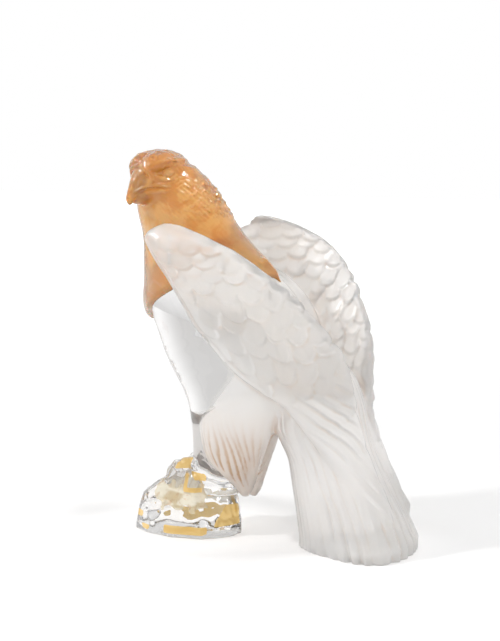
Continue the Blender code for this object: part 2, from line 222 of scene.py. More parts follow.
def curve(points, count):
    """This many points, evenly spaced by length, along a smooth curve through the points."""
    p = np.array(points, float)
    last = len(p) - 1
    place = np.linspace(0, last, 3001)
    i = np.minimum(place.astype(int), last - 1)
    f = (place - i)[:, None]
    p0, p1, p2, p3 = p[np.maximum(i - 1, 0)], p[i], p[i + 1], p[np.minimum(i + 2, last)]
    fine = 0.5 * (
        2 * p1 + (p2 - p0) * f + (2 * p0 - 5 * p1 + 4 * p2 - p3) * f * f
        + (3 * p1 - p0 - 3 * p2 + p3) * f ** 3
    )
    run = run_along(fine)
    at = np.linspace(0, run[-1], count)
    return np.stack([np.interp(at, run, fine[:, k]) for k in range(3)], 1)


def unit(v):
    return v / np.maximum(np.linalg.norm(v, axis=-1, keepdims=True), 1e-9)


def ease(low, high, x):
    """0 below low, 1 above high, and smooth between them."""
    f = np.clip((x - low) / (high - low), 0, 1)
    return f * f * (3 - 2 * f)


def turns(count):
    """This many even steps of a full turn."""
    return 2 * np.pi * np.arange(count) / count


def shell(rings):
    """Points and triangles of a closed surface through rings (n, m, 3), with a fan at each end."""
    n, m = rings.shape[:2]
    points = np.concatenate([rings.reshape(-1, 3), [rings[0].mean(0), rings[-1].mean(0)]])
    i, j = np.meshgrid(np.arange(n - 1), np.arange(m), indexing="ij")
    k = (j + 1) % m
    a, b, c, d = i * m + j, i * m + k, (i + 1) * m + k, (i + 1) * m + j
    sides = [np.stack(three, -1).reshape(-1, 3) for three in ((a, b, c), (a, c, d))]
    j = np.arange(m)
    k = (j + 1) % m
    low = np.stack([np.full(m, n * m), k, j], 1)
    high = np.stack([np.full(m, n * m + 1), (n - 1) * m + j, (n - 1) * m + k], 1)
    return points, np.concatenate(sides + [low, high])


def round_edge(distance, radius):
    """Share of the full thickness at this distance from an edge rounded at this radius."""
    f = 1 - np.clip(distance / radius, 0, 1)
    return np.sqrt(np.clip(1 - f * f, 0, 1))


def outward(rings):
    """Unit normals of a loft of rings (n, m, 3), pointing away from its middle line."""
    around = np.roll(rings, -1, 1) - np.roll(rings, 1, 1)
    along = np.gradient(rings, axis=0)
    normal = unit(np.cross(around, along))
    middle = rings.mean(1, keepdims=True)
    flip = np.sign(((rings - middle) * normal).sum(-1).mean())
    return normal * flip


# Feathers


def plumage(along, across, rows, seed):
    """Height in mm of rows of overlapping feathers, at these mm along and across them."""
    rng = np.random.default_rng(seed)
    # Three draws for each feather, of which the first two are used: its length and its rise
    spread = rng.normal(0, 1, (len(rows), ROW_FEATHERS, 3)).clip(-1.5, 1.5)
    height = np.zeros(np.broadcast(along, across).shape)
    for k, (tip, length, width, rise) in enumerate(rows):
        sway = 0.195 * np.sin(0.045 * along + 0.02 * across + 2.0 * k)
        place = across / width + 0.5 * (k % 2) + sway
        j = np.floor(place).astype(int) % ROW_FEATHERS
        x = 2 * (place - np.floor(place)) - 1
        arc = 1 - np.sqrt(np.clip(1 - 0.9 * x * x, 0, 1))
        rim = tip + 0.16 * width * spread[k, j, 0] - 0.5 * width * arc
        inside = rim - along
        lip = ease(-0.3, 2.6, inside)
        sloped = np.clip(1 - inside / length, 0, 1)
        tall = rise * (1 + 0.2 * spread[k, j, 1])
        shaft = 0.14 * np.exp(-((x - 0.08) / 0.12) ** 2) * ease(3, 7, inside)
        vane = 1 - 0.36 * x * x + 0.2 * x - shaft
        fresh = tall * lip * sloped * vane
        near = np.maximum(0.5 - np.abs(fresh - height), 0) / 0.5
        height = np.maximum(height, fresh) + near * near * 0.125
    return height


def overlapped(place, rise, soft=0.2):
    """Height in mm of long feathers side by side, each lying a little over the next one."""
    f = place - np.floor(place)
    uneven = 1 + 0.3 * np.sin(2.4 * np.floor(place))
    return rise * uneven * (1 - f) ** 1.3 * ease(0, soft, f)


def lobes(run, pitch, skew=1.5):
    """0 to 1: the outline of rounded tips in a row, each leaning onward."""
    phase = np.mod(run / pitch, 1.0) ** skew
    return np.sqrt(np.clip(1 - (2 * phase - 1) ** 2, 0, 1))


# Fields


class Field:
    """Distances to a form in mm, negative inside, on a regular grid of points."""

    def __init__(self, low, high, step):
        self.low = np.array(low, float)
        self.step = step
        self.size = tuple(int(n) for n in np.ceil((np.array(high, float) - self.low) / step) + 1)
        self.high = self.low + (np.array(self.size) - 1) * step
        self.reach = BAND * step

    def empty(self):
        return np.full(self.size, self.reach, np.float32)

    def window(self, low, high):
        """The part of the grid round a box, as slices."""
        a = np.floor((np.asarray(low) - self.low) / self.step) - BAND - 1
        b = np.ceil((np.asarray(high) - self.low) / self.step) + BAND + 2
        ends = np.clip([a, b], 0, self.size).astype(int)
        return tuple(slice(int(p), int(q)) for p, q in ends.T)

    def of(self, points, triangles):
        """The window that a closed surface needs, and the distances there."""
        points = np.asarray(points, float)
        where = self.window(points.min(0), points.max(0))
        corner = np.array([s.start for s in where])
        local = ((points - self.low) / self.step - corner).astype(np.float32)
        grid = openvdb.FloatGrid.createLevelSetFromPolygons(
            local, triangles=triangles.astype(np.uint32),
            transform=openvdb.createLinearTransform(1.0), halfWidth=BAND,
        )
        values = np.empty(tuple(s.stop - s.start for s in where), np.float32)
        grid.copyToArray(values, ijk=(0, 0, 0))
        return where, values * self.step

    def add(self, values, shape, blend=0.0):
        """Join a closed surface to the form."""
        where, distance = self.of(*shape)
        values[where] = merge(values[where], distance, blend)

    def places(self, where):
        """Grid coordinates in a window, as three arrays that broadcast."""
        x, y, z = (
            (np.arange(s.start, s.stop) * self.step + low).astype(np.float32)
            for s, low in zip(where, self.low)
        )
        return x[:, None, None], y[None, :, None], z[None, None, :]

    def sample(self, values, points):
        """Values at points in mm, by linear interpolation."""
        f = (points - self.low) / self.step
        i = np.clip(np.floor(f).astype(int), 0, np.array(self.size) - 2)
        f = f - i
        total = np.zeros(len(points))
        for corner in np.ndindex(2, 2, 2):
            weight = np.where(corner, f, 1 - f).prod(1)
            total += weight * values[tuple((i + corner).T)]
        return total

    def surface(self, values):
        """Points in mm and quads of the surface where the distance is zero."""
        grid = openvdb.FloatGrid(self.reach / self.step)
        grid.copyFromArray(np.ascontiguousarray(values / self.step))
        grid.transform = openvdb.createLinearTransform(1.0)
        points, triangles, quads = grid.convertToPolygons(isovalue=0.0, adaptivity=0.0)
        return points * self.step + self.low, quads


def spots(field, values, pixels):
    """Where rays through these pixels of the photograph first meet the form, in mm."""
    found = []
    for pixel in pixels:
        line = EYE * 1000 + unit(through(*pixel)) * np.linspace(*SEARCH)[:, None]
        line = line[np.all((line > field.low) & (line < field.high), axis=1)]
        hit = np.flatnonzero(field.sample(values, line) < 0)
        if len(hit):
            found.append(line[hit[0]])
    return np.array(found)


def even(values, radius):
    """A box average over this many grid points to each side."""
    for axis in range(3):
        margins = [(radius + 1, radius) if k == axis else (0, 0) for k in range(3)]
        run = np.cumsum(np.pad(values, margins, mode="edge"), axis=axis, dtype=np.float32)
        size = values.shape[axis]
        low, high = (np.take(run, np.arange(size) + shift, axis=axis) for shift in (0, 2 * radius + 1))
        values = (high - low) / (2 * radius + 1)
    return values


def merge(a, b, blend):
    """The union of two distance arrays, with a fillet of about this many mm between them."""
    if not blend:
        return np.minimum(a, b)
    h = np.maximum(blend - np.abs(a - b), 0) / blend
    return np.minimum(a, b) - h * h * blend / 4


def cut(a, b, blend):
    """What is left of a when b is taken away."""
    return -merge(-a, b, blend)


def ellipsoid_distance(x, y, z, centre, radii):
    own = [(p - c, r) for p, c, r in zip((x, y, z), centre, radii)]
    k0 = np.sqrt(sum((p / r) ** 2 for p, r in own))
    k1 = np.sqrt(sum((p / r ** 2) ** 2 for p, r in own))
    return k0 * (k0 - 1) / np.maximum(k1, 1e-4)


def rope_distance(x, y, z, points, radii):
    """Distance to a rope through the points, with its own radius at each."""
    parts = []
    for a, b, ra, rb in zip(points[:-1], points[1:], radii[:-1], radii[1:]):
        a, b = np.array(a, float), np.array(b, float)
        d = b - a
        px, py, pz = x - a[0], y - a[1], z - a[2]
        t = np.clip((px * d[0] + py * d[1] + pz * d[2]) / max(d @ d, 1e-9), 0, 1)
        away = np.sqrt((px - t * d[0]) ** 2 + (py - t * d[1]) ** 2 + (pz - t * d[2]) ** 2)
        parts.append(away - (ra + (rb - ra) * t))
    return np.minimum.reduce(parts)


# Shapes of the crystal


def sizes_at(sections, heights):
    """Heights and sizes of level sections as columns, on smooth curves through the sections."""
    s = np.array(sections, float)
    return [heights[:, None]] + [smooth(s[:, 0], column, heights)[:, None] for column in s.T[1:]]


def loft(x, y, z):
    return np.stack(np.broadcast_arrays(x, y, z), -1)


def superellipse(sections, heights, count, squareness, grow=0.0):
    """Level rings through sections of height, front, back and half width."""
    z, front, back, half = sizes_at(sections, heights)
    c, sn = np.cos(turns(count)), np.sin(turns(count))
    power = 2 / squareness
    x = np.sign(c) * np.abs(c) ** power * (half + grow)
    y = (front + back) / 2 + np.sign(sn) * np.abs(sn) ** power * ((back - front) / 2 + grow)
    return loft(x, y, z)


def torso_rings(grow=0.0, carved=True):
    top = TORSO[-1][0]
    heights = np.concatenate([np.linspace(TORSO[0][0], 226, 190), np.linspace(226.3, top, 8)])
    rings = superellipse(TORSO, heights, 220, 2.3, grow)
    rings[-6:, :, 2] += grow
    if carved:
        # Small feathers down the back between the wings, and faint ripples across the breast
        z, to_back = heights[:, None], np.sin(turns(220))
        relief = plumage(top - z, rings[..., 0] + 40, BACK_FEATHERS, 5)
        relief = relief * (ease(0.25, 0.65, to_back) * ease(90, 110, z))
        ripples = ease(122, 134, z) * ease(164, 150, z) * np.sin(z * 0.66 + 0.5 * np.sin(z / 5.0))
        relief = relief + 0.13 * ripples * ease(-0.3, -0.8, to_back)
        rings = rings + outward(rings) * relief[..., None]
    return rings


def tail_rings():
    top = TAIL[-1][0]
    z, front, back, front_half, back_half = sizes_at(TAIL, np.linspace(0, top, 220))
    c, sn = np.cos(turns(360)), np.sin(turns(360))
    depth = 0.5 + 0.5 * np.sign(sn) * np.abs(sn) ** 0.75
    half = front_half + (back_half - front_half) * np.minimum(1.0, depth * 1.15)
    rings = loft(np.sign(c) * np.abs(c) ** 0.8 * half, front + (back - front) * depth, z)
    # Feathers lie along the tail as ribs, and end at the ground as rounded tips
    run = run_along(rings[0])
    warped = run + 2.5 * np.sin(z / 31.0) + 3.0 * np.sin(run / 13.0) + 1.5 * np.sin(run / 5.1 + 2)
    rib = lobes(warped + 0.07 * z, 11.0, 1.3)
    fine = np.sin(run * 2 * np.pi / 5.7 + 2.6 * np.sin(z / 19.0))
    to_back = ease(-0.55, 0.25, sn)
    uneven = 0.75 + 0.25 * np.sin(run / 9.0 + z / 17.0)
    strength = 0.65 + 0.9 * to_back + 3.2 * (1 - z / top) ** 3 * to_back
    rise = (rib - 0.6) * strength * uneven + 0.32 * fine * uneven
    tuck = -3.0 * (1 - ease(0, 9, z)) * (1 - 0.75 * rib) * to_back
    return rings + outward(rings) * (rise + tuck)[..., None]


def thigh_rings(side):
    bottom, top = THIGH[0][0], THIGH[-1][0]
    z, front, back, middle, half = sizes_at(THIGH, np.linspace(bottom, top, 130))
    angle = turns(160)
    y = (front + back) / 2 + np.sin(angle) * (back - front) / 2
    rings = loft(middle * side + np.cos(angle) * half, y, z)
    # Tufts wind down the lower part
    low = ease(112, 56, z) * ease(37, 48, z)
    slant = angle * side - 0.022 * (top - z)
    bend = 0.5 * np.sin(z / 7.0 + 3 * angle)
    tufts = overlapped((4.2 + slant) * 13 / np.pi + bend, 1.5, 0.3)
    tufts = tufts + overlapped((4.2 + slant) * 31 / np.pi - bend, 0.8, 0.4)
    rings = rings + outward(rings) * ((tufts - 1.0) * low)[..., None]
    rings[..., 2] -= 0.38 * (rings[..., 1] - (front + back) / 2) * low
    if side < 0:
        rings = rings + RIGHT_LEG_SHIFT
    return rings


def wing_rings(side):
    """One wing as rings across it, from the wrist to the tip, with feathers on both faces."""
    n, m = 360, 150
    lead, back = curve(LEADING_EDGE, n), curve(BACK_EDGE, n)
    share = np.linspace(0, 1, n)[:, None]
    middle_line = (lead + back) / 2
    a = run_along(middle_line)[:, None]
    chord = back - lead
    onward = unit(np.gradient(middle_line, axis=0))
    width = np.linalg.norm(chord, axis=1, keepdims=True)
    # Feather tips along the back edge
    run = run_along(back)
    warped = run + 7 * np.sin(run / 17.0) + 3 * np.sin(run / 7.3 + 1)
    depth = (0.9 * ease(26, 60, run) + 1.7 * ease(90, 130, run)) * (1 - 0.5 * ease(240, 300, run))
    depth = depth * (0.8 + 0.45 * np.sin(run / 21.0 + 0.8) + 0.3 * np.sin(run / 8.9))
    back = back + unit(chord) * ((lobes(warped, 19.0) - 0.75) * depth)[:, None]
    chord = back - lead
    normal = np.cross(chord, onward)
    normal[:8] = normal[8]
    normal = unit(normal)
    normal *= np.sign(normal[:, :1])
    # Across the wing, closer together at its edges: 0 at the leading edge, 1 at the back edge
    t = 0.5 - 0.5 * np.cos(np.pi * np.linspace(0, 1, m)[None, :])
    arch = np.sin(np.pi * t)
    round_off = np.sqrt(np.minimum(1.0, share / 0.07))
    middle = lead[:, None] + chord[:, None] * t[..., None]
    bulge = WING_BULGE * arch * round_off * (1 - 0.8 * share)
    middle = middle + normal[:, None] * bulge[..., None]
    edge = WING_LEADING * (1 - t) + WING_BACK * t
    half = 0.5 * (edge + (WING_MIDDLE - edge) * arch) * (0.5 + 0.5 * round_off)
    above, below = t * width, (1 - t) * width
    half = half * round_edge(above, 4.2) * round_edge(below, 3.0)
    half = half * round_edge(a, 5.0) * round_edge(a[-1] - a, 6.0)
    inset = ease(0, 5, above) * ease(0, 3, below)
    # The upper part near the leading edge stays smooth, behind a narrow strip
    bare = 1 - (1 - ease(0.08, 0.4, t)) * (1 - ease(60, 110, a))
    strip = np.exp(-((above - 6.0) / 1.6) ** 2) * (1 - ease(120, 170, a))
    strip = strip * (ease(8, 25, a) if side > 0 else ease(35, 60, a))
    hang = HANG * (1 - 0.7 * ease(40, 200, a))
    step = np.diff(a, axis=0, prepend=0)
    along = np.cumsum(np.cos(hang) * step, axis=0) + below * np.sin(hang)
    across = np.cumsum(np.sin(hang) * step, axis=0) - below * np.cos(hang) + 200
    late = ease(158, 196, a + 0.15 * below)
    drift = above - 0.16 * (a - 180) + 1.6 * np.sin(a / 19.0)
    barbs = overlapped(drift / 4.3 + 0.4 * np.sin(a / 9.0) + 40, 0.5)
    long_feathers = (overlapped(drift / 8.6 + 20, 1.7) + barbs) * ease(150, 190, a)
    covered = plumage(along, across, COVERTS, 11) * bare * (1 - late)
    outer_relief = np.maximum(covered, long_feathers) * inset - 1.2 * strip
    covered = plumage(along, across, INNER_COVERTS, 23) * (1 - late) * ease(4, 16, a)
    inner_relief = (covered + long_feathers * late) * inset
    outer = middle + normal[:, None] * (half + outer_relief * np.minimum(1, half))[..., None]
    inner = middle - normal[:, None] * (half + 0.8 * inner_relief * np.minimum(1, half))[..., None]
    rings = np.concatenate([outer, inner[:, ::-1]], 1)
    rings[..., 0] *= side
    if side < 0:
        shift = np.clip(1 - share / RIGHT_WRIST_SHARE, 0, 1) ** 2
        rings = rings + shift[..., None] * RIGHT_WRIST_SHIFT
    return rings


def taken(bm):
    """The points and triangles of a bmesh, which is freed."""
    bm.verts.index_update()
    points = np.array([v.co[:] for v in bm.verts])
    triangles = np.array([[v.index for v in f.verts] for f in bm.faces])
    bm.free()
    return points, triangles


def shoulder_shell(side):
    bm = bmesh.new()
    bmesh.ops.create_icosphere(bm, subdivisions=5, radius=1.0)
    points, triangles = taken(bm)
    slope = Matrix.Rotation(-SHOULDER_SLOPE, 3, "X")
    points = points * np.array(SHOULDER_RADII, float) @ np.array(slope).T
    return points + np.array(SHOULDER_CENTRE, float) * (side, 1, 1), triangles


def rock_shell():
    """The chiselled rock: the hull of a few uneven rings."""
    levels = (
        (0.00, 0.97, 0.97, 0.0, 11), (0.22, 1.0, 1.0, 0.0, 9), (0.50, 0.88, 0.92, 0.03, 9),
        (0.76, 0.66, 0.74, 0.09, 8), (0.94, 0.42, 0.56, 0.16, 7), (1.0, 0.26, 0.40, 0.19, 6),
    )
    bm = bmesh.new()
    for level, (height, along, wide, shift, corners) in enumerate(levels):
        for i in range(corners):
            angle = 2 * math.pi * (i + 0.37 * level) / corners
            uneven = 1 - 0.09 * (0.5 + 0.5 * math.sin(5.3 * i + 2.1 * level))
            bm.verts.new((
                math.cos(angle) * wide * uneven * ROCK_WIDTH / 2,
                (math.sin(angle) * along * uneven / 2 + shift) * ROCK_LENGTH,
                height * ROCK_HEIGHT,
            ))
    hull = bmesh.ops.convex_hull(bm, input=bm.verts)
    bmesh.ops.delete(bm, geom=[g for g in hull["geom_interior"] if g.is_valid], context="VERTS")
    bmesh.ops.triangulate(bm, faces=bm.faces)
    return taken(bm)


def chiselled(distance, places, points):
    """The rock with small flat cuts over its corners and soft waves between them."""
    x, y, z = places
    rng = np.random.default_rng(4)
    for _ in range(26):
        turn, rise = rng.uniform(0, 2 * math.pi), rng.uniform(-0.15, 1.1)
        n = np.array([math.cos(turn) * math.cos(rise), math.sin(turn) * math.cos(rise), math.sin(rise)])
        reach = (points @ n).max() - rng.uniform(0.8, 3.2)
        distance = np.maximum(distance, x * n[0] + y * n[1] + z * n[2] - reach)
    wave = np.sin(x * 0.33 + 1.2 * np.sin(z * 0.17)) * np.sin(y * 0.29 + 1.0 * np.sin(x * 0.2) + 1.0)
    ripple = np.sin(z * 0.55 + 1.6 * np.sin(y * 0.12 + 0.5) + 0.8 * np.sin(x * 0.16))
    return distance + (0.55 * wave + 0.2 * ripple + 0.4) * ease(3, 12, z)


def toe_shell(side, degrees, reach):
    root = np.array([side * TOE_ROOT[0], TOE_ROOT[1], ROCK_HEIGHT + TOE_LIFT], float)
    heading = math.radians(degrees)
    ahead = np.array([math.sin(heading), -math.cos(heading), 0])
    across = np.array([ahead[1], -ahead[0], 0])
    share, drop, size = sizes_at(TOE_SECTIONS, np.linspace(-0.3, 1.0, 60))
    middle = root + ahead * (reach * share)
    middle[:, 2:] -= drop
    upward = unit(np.array([0, 0, 1.0]) + ahead * (0.12 * drop))
    wide = (np.cos(turns(32)) * TOE_RADII[1] * size)[..., None]
    tall = (np.sin(turns(32)) * TOE_RADII[0] * size)[..., None]
    return shell(middle[:, None] + across * wide + upward[:, None] * tall)


def crystal_fields():
    """The grid, and distances to wings, tail and thighs, to the torso, and to rock and toes."""
    field = Field(*CRYSTAL_REACH, BODY_STEP)
    frosted, clear, torso = field.empty(), field.empty(), field.empty()
    for side in (1, -1):
        field.add(frosted, shell(wing_rings(side)))
        field.add(frosted, shoulder_shell(side), 5.0)
    field.add(frosted, shell(tail_rings()), 4.0)
    for side in (1, -1):
        field.add(frosted, shell(thigh_rings(side)), 2.0)
    field.add(torso, shell(torso_rings()))
    points, triangles = rock_shell()
    where, distance = field.of(points, triangles)
    clear[where] = chiselled(distance, field.places(where), points)
    for side in (1, -1):
        for degrees, reach in TOES:
            field.add(clear, toe_shell(side, degrees, reach), 1.5)
    return field, frosted, torso, clear


# The amber


def head_frame():
    """Rows: the head's forward, left and up directions."""
    s, c = math.sin(HEAD_YAW), math.cos(HEAD_YAW)
    return np.array([[s, -c, 0], [c, s, 0], [0, 0, 1.0]])


def head_shell(sections):
    """A bill or chin through sections of forward, up, half width and half depth."""
    s = np.array(sections, float)
    at = np.linspace(0, len(s) - 1, 60)
    forward, up, half, deep = (smooth(np.arange(len(s)), column, at) for column in s.T)
    line = np.stack([forward, 0 * forward, up], 1)
    along = unit(np.gradient(line, axis=0))
    over = np.stack([-along[:, 2], 0 * forward, along[:, 0]], 1)
    wide = (np.cos(turns(48)) * half[:, None])[..., None]
    tall = (np.sin(turns(48)) * deep[:, None])[..., None]
    points, triangles = shell(line[:, None] + np.array([0, 1.0, 0]) * wide + over[:, None] * tall)
    return points @ head_frame() + HEAD_CENTRE, triangles


def mirrored(points):
    """The same places on the other side of the head."""
    own = (points - HEAD_CENTRE) @ head_frame().T
    return own * (1, -1, 1) @ head_frame() + HEAD_CENTRE


def wavy(places, rng, count, pitch, stroke):
    """Small random bumps: a sum of waves, of a pitch between two values, drawn out along a stroke."""
    x, y, z = places
    total = 0
    for _ in range(count):
        wave = rng.normal(0, 1, 3)
        wave = wave - 0.8 * (wave @ stroke) * stroke
        wave = wave * rng.uniform(*pitch) / np.linalg.norm(wave)
        total = total + np.sin(x * wave[0] + y * wave[1] + z * wave[2] + rng.uniform(0, 6.3))
    return total


# Lines of the face: pixels of the photograph, radii in mm, blend, how deep, and whether cut away
FACE_LINES = (
    # Hollow of the eye, its ball, and the lid under it
    ([(156.5, 173.5), (163, 173), (168.6, 172.6)], [0.8, 2.4, 3.6], 1.6, 0.2, True),
    ([(167.6, 173.2), (167.6, 173.2)], [5.6, 5.6], 0.5, 0.6),
    ([(155.5, 175.5), (160, 178.8), (165.5, 180.6), (171, 179.8), (174.8, 176), (175.4, 171)],
     [0.5, 0.8, 0.95, 0.95, 0.8, 0.4], 0.8, 0.4),
    # Sharp upper edge of the brow
    ([(155, 165), (161, 162.2), (169, 160.6), (177, 160.8)], [0.6, 1.3, 1.3, 0.5], 1.0, 0.2),
    # Cere: the fleshy edge of the bill, with the nostril's slit before it
    ([(138.5, 165.5), (143.5, 167), (148, 171.5), (151.5, 176), (152.5, 180.5), (150, 184.5)],
     [1.2, 1.5, 1.6, 1.6, 1.3, 0.7], 1.4, 0.4),
    ([(143.5, 171.5), (146, 173.8), (148.2, 177.2)], [0.4, 0.8, 0.5], 0.6, 0.0, True),
    # Gape: a line that runs back under the eye, between two lips
    ([(136.5, 192), (141, 188.4), (147, 186), (155, 185.4), (163, 185.8), (169, 186.6)],
     [0.7, 1.2, 1.2, 1.2, 1.1, 0.5], 1.2, 0.3),
    ([(139, 195.2), (145, 193.2), (152, 191.6), (160, 190.9), (168, 190.8)],
     [0.6, 1.2, 1.4, 1.3, 0.5], 1.2, 0.3),
    ([(134.5, 195), (140, 191), (146, 189), (155, 188.1), (164, 188.3), (171, 188.8)],
     [0.4, 0.6, 0.75, 0.75, 0.6, 0.3], 0.6, 0.0, True),
)
# Curls of small feathers behind the eye, in pixels of the photograph
CURLS = (
    [(175, 182), (180, 178.4), (186, 177), (190.5, 179.5), (192, 184.5), (189.5, 189)],
    [(176, 185.5), (181, 181.8), (186, 181.3), (188.7, 184.5), (187.5, 188.5)],
    [(178, 189), (182, 185.6), (185.3, 186.2), (185.3, 189)],
    [(183, 193), (188, 192.5), (192.5, 190)], [(186, 196.5), (191.5, 195.5), (195.5, 192)],
)


def amber_field():
    """The grid and the distances of the head, neck and collar."""
    field = Field(*AMBER_REACH, HEAD_STEP)
    values = field.empty()
    heights = np.linspace(NECK[0][0], NECK[-1][0], 150)
    field.add(values, shell(superellipse(NECK, heights, 180, 2.1)))

    # The collar wraps the breast, with a thick rounded lip
    heights = np.linspace(COLLAR[0][0], COLLAR[-1][0], 90)
    where, distance = field.of(*shell(superellipse(COLLAR, heights, 220, 2.0)))
    x, y, z = field.places(where)
    edge = COLLAR_POINT[1] + COLLAR_RISE_BACK * (y - COLLAR_POINT[0]) + COLLAR_RISE_SIDE * np.abs(x)
    tilt = math.hypot(1, math.hypot(COLLAR_RISE_BACK, COLLAR_RISE_SIDE))
    distance = cut(distance, (z - edge) / tilt, 7.0)
    distance = np.maximum(distance, np.maximum(y - COLLAR_BACK, z - COLLAR_TOP))
    values[where] = merge(values[where], distance, 3.0)

    field.add(values, head_shell(CHIN), 3.0)
    field.add(values, head_shell(BILL), 1.2)

    # The skull, cheeks and forehead, in the head's own coordinates
    where = field.window(*FACE_REACH)
    dx, dy, dz = (p - c for p, c in zip(field.places(where), HEAD_CENTRE))
    (ahead_x, ahead_y, _), (left_x, left_y, _), _ = head_frame()
    forward = (dx * ahead_x + dy * ahead_y + 0 * dz).astype(np.float32)
    beside = np.abs((dx * left_x + dy * left_y + 0 * dz).astype(np.float32))
    up = (dz + 0 * dx + 0 * dy).astype(np.float32)
    head = values[where]
    for centre, radii, blend in (
        (SKULL_CENTRE, SKULL_RADII, 4.0), ((-5, 12, -11), (19, 11, 12), 4.0),
        ((8, 8, 11.5), (12, 8.5, 7), 8.0),
    ):
        head = merge(head, ellipsoid_distance(forward, beside, up, centre, radii), blend)
    # Brow ridge, from over the lores to behind the eye
    brow = rope_distance(
        forward, beside, up,
        [(19.5, 10.5, 8.6), (15, 13.6, 10.0), (9, 16.2, 11.4), (1, 17.6, 12.8), (-8, 16.8, 13.4)],
        [2.6, 3.0, 3.1, 2.8, 1.8],
    )
    values[where] = merge(head, brow, 3.0)

    def add_rope(line, radii, blend, away=False):
        window = field.window(line.min(0) - 5, line.max(0) + 5)
        rope = rope_distance(*field.places(window), line, radii)
        values[window] = (cut if away else merge)(values[window], rope, blend)

    def add_lines(pixels, radii, blend, depth, away=False, both=True):
        """A rope along pixels of the photograph on the head, and its mirror image."""
        line = spots(field, values, pixels) + AHEAD * depth
        for rope in (line, mirrored(line)) if both else (line,):
            add_rope(rope, radii, blend, away)

    for line in FACE_LINES:
        add_lines(*line)
    for curl in CURLS:
        thick = [0.4] + [0.85] * (len(curl) - 2) + [0.3]
        add_lines(curl, thick, 0.8, 0.35, both=False)
    # The neck ends in a point between the wings
    start = spots(field, values, [(264, 264)])[0] + AHEAD * 3.5
    tip = start + (RIGHT * 16 - OVER * 17) / PIXELS_PER_MM
    add_rope(np.array([start, (start + tip) / 2, tip]), [4.2, 2.8, 0.5], 4.0)
    # A little ball of glass on the nape
    add_lines([(216.3, 195.5), (216.6, 196)], [2.4, 2.4], 0.8, 1.0, both=False)

    # Nap of small feathers on the cheek, nape and neck, with broader bumps on the crown
    where = field.window(*NECK_REACH)
    x, y, z = places = field.places(where)
    rng = np.random.default_rng(8)
    fine = wavy(places, rng, 12, (1.8, 2.9), unit(np.array([0.25, 0.75, -0.6])))
    broad = wavy(places, rng, 10, (0.8, 1.3), np.zeros(3))
    crown = np.maximum(ease(285, 292, z), ease(-6, 6, y) * ease(244, 256, z) * ease(16, 4, x))
    values[where] -= (np.maximum(broad, -1.5) * 0.075 * crown).astype(np.float32)
    # The nap is strongest behind the cheek, and faint on the crown and down the neck
    cheek = ease(4, 16, y) * ease(246, 254, z) * ease(284, 270, z)
    rest = np.maximum(ease(-18, 0, y), ease(288, 295, z)) * ease(225, 245, z)
    values[where] -= (np.maximum(fine, -1.0) * (0.11 * cheek + 0.05 * rest)).astype(np.float32)

    # The seat on the crystal
    where, distance = field.of(*shell(torso_rings(-SEAT, carved=False)))
    values[where] = np.maximum(values[where], -distance)
    return field, values


# Meshes


def placed(name, data):
    """A new object in the scene."""
    obj = bpy.data.objects.new(name, data)
    bpy.context.scene.collection.objects.link(obj)
    return obj


def from_faces(name, points, faces):
    """A mesh in metres from points in mm and faces that all have the same number of corners."""
    mesh = bpy.data.meshes.new(name)
    mesh.vertices.add(len(points))
    mesh.vertices.foreach_set("co", (points / 1000).astype(np.float32).ravel())
    mesh.loops.add(faces.size)
    mesh.loops.foreach_set("vertex_index", faces.astype(np.int32).ravel())
    mesh.polygons.add(len(faces))
    mesh.polygons.foreach_set("loop_start", np.arange(0, faces.size, faces.shape[1], dtype=np.int32))
    mesh.update(calc_edges=True)
    mesh.validate()
    mesh.polygons.foreach_set("use_smooth", np.ones(len(mesh.polygons), bool))
    return mesh


def to_faces(mesh):
    """Points in mm and triangles of a mesh."""
    points = np.empty((len(mesh.vertices), 3), np.float32)
    mesh.vertices.foreach_get("co", points.ravel())
    triangles = np.empty((len(mesh.polygons), 3), np.int32)
    mesh.loops.foreach_get("vertex_index", triangles.ravel())
    return points.astype(float) * 1000, triangles


def largest_part(points, triangles):
    """The largest connected part of a surface, without loose specks."""
    part = np.arange(len(points))
    while True:
        fresh = part.copy()
        np.minimum.at(fresh, triangles.ravel(), np.repeat(part[triangles].min(1), 3))
        fresh = fresh[fresh]
        if np.array_equal(fresh, part):
            break
        part = fresh
    own = part[triangles[:, 0]]
    used, kept = np.unique(triangles[own == np.bincount(own).argmax()], return_inverse=True)
    return points[used], kept.reshape(-1, 3)


def thinned(points, quads, limit):
    """Points in mm and triangles of the surface, thinned to at most this many."""
    mesh = from_faces("raw", points, quads)
    obj = placed("raw", mesh)
    obj.modifiers.new("thin", "DECIMATE").ratio = min(1.0, limit / (2 * len(quads)))
    obj.modifiers.new("three", "TRIANGULATE")
    done = bpy.data.meshes.new_from_object(obj.evaluated_get(bpy.context.evaluated_depsgraph_get()))
    found = largest_part(*to_faces(done))
    bpy.data.objects.remove(obj)
    bpy.data.meshes.remove(mesh)
    bpy.data.meshes.remove(done)
    return found


